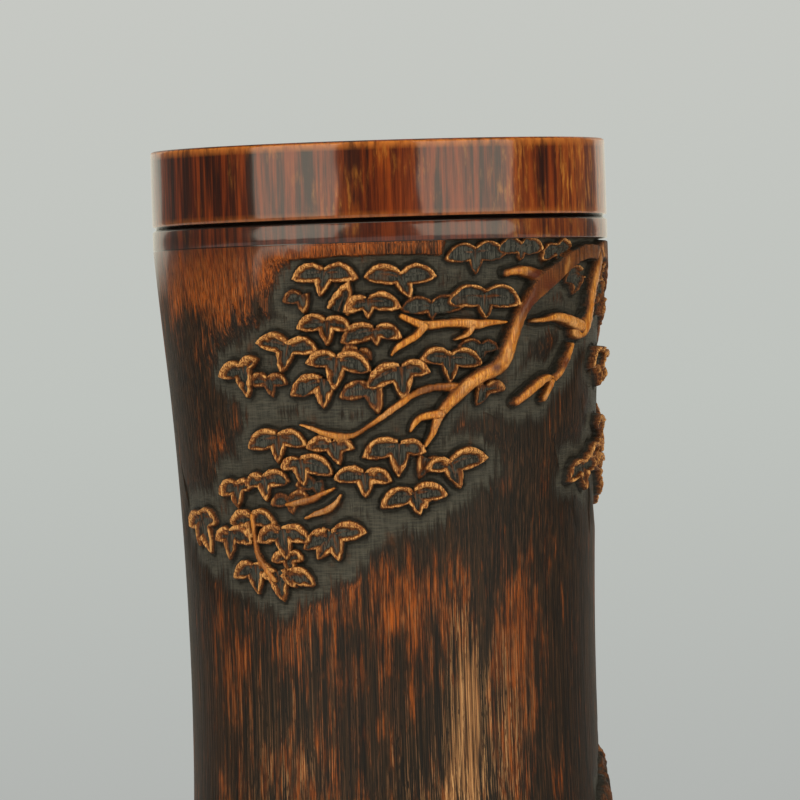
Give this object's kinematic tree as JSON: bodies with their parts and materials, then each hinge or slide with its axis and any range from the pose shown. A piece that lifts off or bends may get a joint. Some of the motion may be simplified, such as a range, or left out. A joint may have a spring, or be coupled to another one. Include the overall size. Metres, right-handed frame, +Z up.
{
  "type": "brush pot",
  "caption": "Waisted bamboo brush pot with a turned lip ring, carved maple branches in relief, a let-in floor and small feet.",
  "frame": {"origin": "middle of the plane that the feet stand on", "axes": "+Z up along the pot's axis, -Y towards the front"},
  "size_m": [0.098, 0.098, 0.165],
  "materials": {
    "lacquered_lip": "polished red-brown lacquered bamboo",
    "carved_bamboo": "stained and hand-rubbed bamboo with carved relief",
    "floor_wood": "oiled dark hardwood",
    "foot_bamboo": "stained bamboo, satin",
    "peg_bamboo": "bare bamboo end grain"
  },
  "bodies": {
    "root": {"mouth_ring": "lacquered_lip", "culm_wall": "carved_bamboo", "floor_disc": "floor_wood", "foot_right": "foot_bamboo", "foot_back": "foot_bamboo", "foot_left": "foot_bamboo", "floor_pegs": "peg_bamboo", "foot_dowels": "peg_bamboo"}
  },
  "joints": []
}
